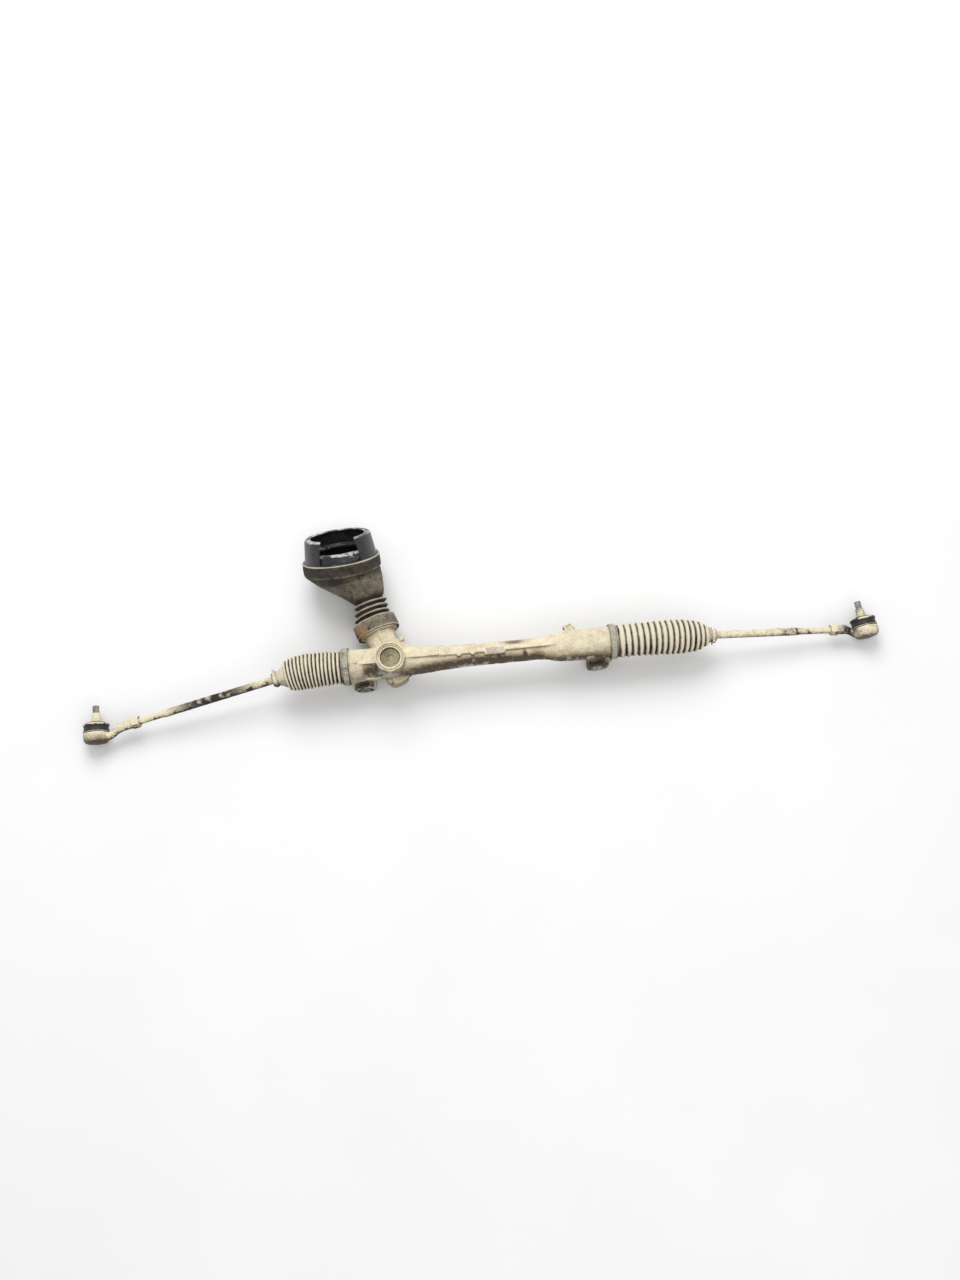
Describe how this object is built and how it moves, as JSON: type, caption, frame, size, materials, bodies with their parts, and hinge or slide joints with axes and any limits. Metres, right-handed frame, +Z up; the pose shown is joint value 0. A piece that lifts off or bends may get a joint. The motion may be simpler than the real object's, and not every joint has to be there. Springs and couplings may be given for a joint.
{
  "type": "rack and pinion steering gear",
  "caption": "Rack-and-pinion steering gear lying flat, with bellows, tie rods, ball joints and a rubber column cover, caked in dry mud.",
  "frame": {"origin": "centre of the overall box at the floor the gear lies on", "axes": "+X along the rack towards the plain end of the housing, +Y towards the pinion tower and the studs' threaded ends, +Z up, the way the rack guide's bore opens"},
  "size_m": [1.1839, 0.2912, 0.1101],
  "materials": {
    "muddy_casting": "cast, caked in dry pale mud",
    "muddy_rubber": "matt rubber with dry mud in its folds",
    "black_rubber": "matt",
    "dark_plastic": "fine grained, scuffed along its edges",
    "seat_plastic": "smooth and greased",
    "machined_steel": "ground",
    "band_steel": "dull, with dried mud",
    "muddy_steel": "forged, caked in dry pale mud",
    "dark_steel": "dark phosphate coat"
  },
  "bodies": {
    "housing": {"rack_housing": "muddy_casting", "pinion_upper_bearing": "machined_steel", "bearing_retainer": "dark_steel", "pinion_seal": "black_rubber", "pinion_dust_cap": "dark_plastic", "pinion_lower_bearing": "machined_steel", "lower_bearing_plug": "muddy_steel", "rack_guide": "machined_steel", "guide_liner": "seat_plastic", "guide_o_ring": "black_rubber", "guide_spring": "dark_steel", "guide_adjuster": "muddy_steel", "rack_bush": "seat_plastic", "column_cover": "muddy_rubber", "cover_ring": "dark_plastic", "left_mount_bush": "black_rubber", "left_mount_sleeve": "machined_steel", "left_bellows": "muddy_rubber", "left_bellows_clamp": "band_steel", "right_mount_bush": "black_rubber", "right_mount_sleeve": "machined_steel", "right_bellows": "muddy_rubber", "right_bellows_clamp": "band_steel"},
    "rack": {"rack_bar": "machined_steel", "left_inner_socket": "machined_steel", "left_lock_washer": "dark_steel", "right_inner_socket": "machined_steel", "right_lock_washer": "dark_steel"},
    "pinion": {"pinion_shaft": "machined_steel"},
    "left_inner_cup": {"left_inner_seat": "seat_plastic"},
    "left_rod": {"left_tie_rod": "muddy_steel", "left_jam_nut": "muddy_steel", "left_bellows_clip": "dark_steel", "left_outer_housing": "muddy_steel", "left_outer_plug": "muddy_steel", "left_dust_boot": "black_rubber", "left_boot_ring": "band_steel"},
    "left_outer_cup": {"left_outer_seat": "seat_plastic"},
    "left_stud": {"left_ball_stud": "muddy_steel", "left_boot_clip": "band_steel"},
    "right_inner_cup": {"right_inner_seat": "seat_plastic"},
    "right_rod": {"right_tie_rod": "muddy_steel", "right_jam_nut": "muddy_steel", "right_bellows_clip": "dark_steel", "right_outer_housing": "muddy_steel", "right_outer_plug": "muddy_steel", "right_dust_boot": "black_rubber", "right_boot_ring": "band_steel"},
    "right_outer_cup": {"right_outer_seat": "seat_plastic"},
    "right_stud": {"right_ball_stud": "muddy_steel", "right_boot_clip": "band_steel"}
  },
  "joints": [
    {"name": "rack_slide", "type": "slide", "parent": "housing", "child": "rack", "axis": [1, 0, 0], "range_m": [-0.066, 0.044], "deforming": ["left_bellows", "right_bellows"]},
    {"name": "pinion_turn", "type": "hinge", "parent": "housing", "child": "pinion", "pos_m": [-0.1333, -0.0737, 0.034], "axis": [-0.309, 0.9511, 0], "range_deg": [-518, 347]},
    {"name": "left_inner_swing", "type": "hinge", "parent": "rack", "child": "left_inner_cup", "pos_m": [-0.2638, -0.0737, 0.0495], "axis": [0, 0, 1], "range_deg": [-26.6, 5.4]},
    {"name": "left_inner_lift", "type": "hinge", "parent": "left_inner_cup", "child": "left_rod", "pos_m": [-0.2638, -0.0737, 0.0495], "axis": [-0.184, 0.9829, 0], "range_deg": [-6, 17]},
    {"name": "left_outer_tilt", "type": "hinge", "parent": "left_rod", "child": "left_outer_cup", "pos_m": [-0.57296, -0.13156, 0.019], "axis": [0, 0, 1], "range_deg": [-18, 18], "deforming": ["left_dust_boot"]},
    {"name": "left_stud_spin", "type": "hinge", "parent": "left_outer_cup", "child": "left_stud", "pos_m": [-0.57296, -0.13156, 0.019], "axis": [0, 1, 0], "range_deg": [-45, 45]},
    {"name": "right_inner_swing", "type": "hinge", "parent": "rack", "child": "right_inner_cup", "pos_m": [0.2542, -0.0737, 0.0495], "axis": [0, 0, 1], "range_deg": [-14.3, 17.7]},
    {"name": "right_inner_lift", "type": "hinge", "parent": "right_inner_cup", "child": "right_rod", "pos_m": [0.2542, -0.0737, 0.0495], "axis": [0.0297, 0.9996, 0], "range_deg": [-17, 6]},
    {"name": "right_outer_tilt", "type": "hinge", "parent": "right_rod", "child": "right_outer_cup", "pos_m": [0.5726, -0.08315, 0.019], "axis": [0, 0, 1], "range_deg": [-18, 18], "deforming": ["right_dust_boot"]},
    {"name": "right_stud_spin", "type": "hinge", "parent": "right_outer_cup", "child": "right_stud", "pos_m": [0.5726, -0.08315, 0.019], "axis": [-0.1045, 0.9945, 0], "range_deg": [-45, 45]}
  ],
  "couplings": [
    {"joint": "pinion_turn", "follows": "rack_slide", "rad_per_m": 135.87}
  ]
}
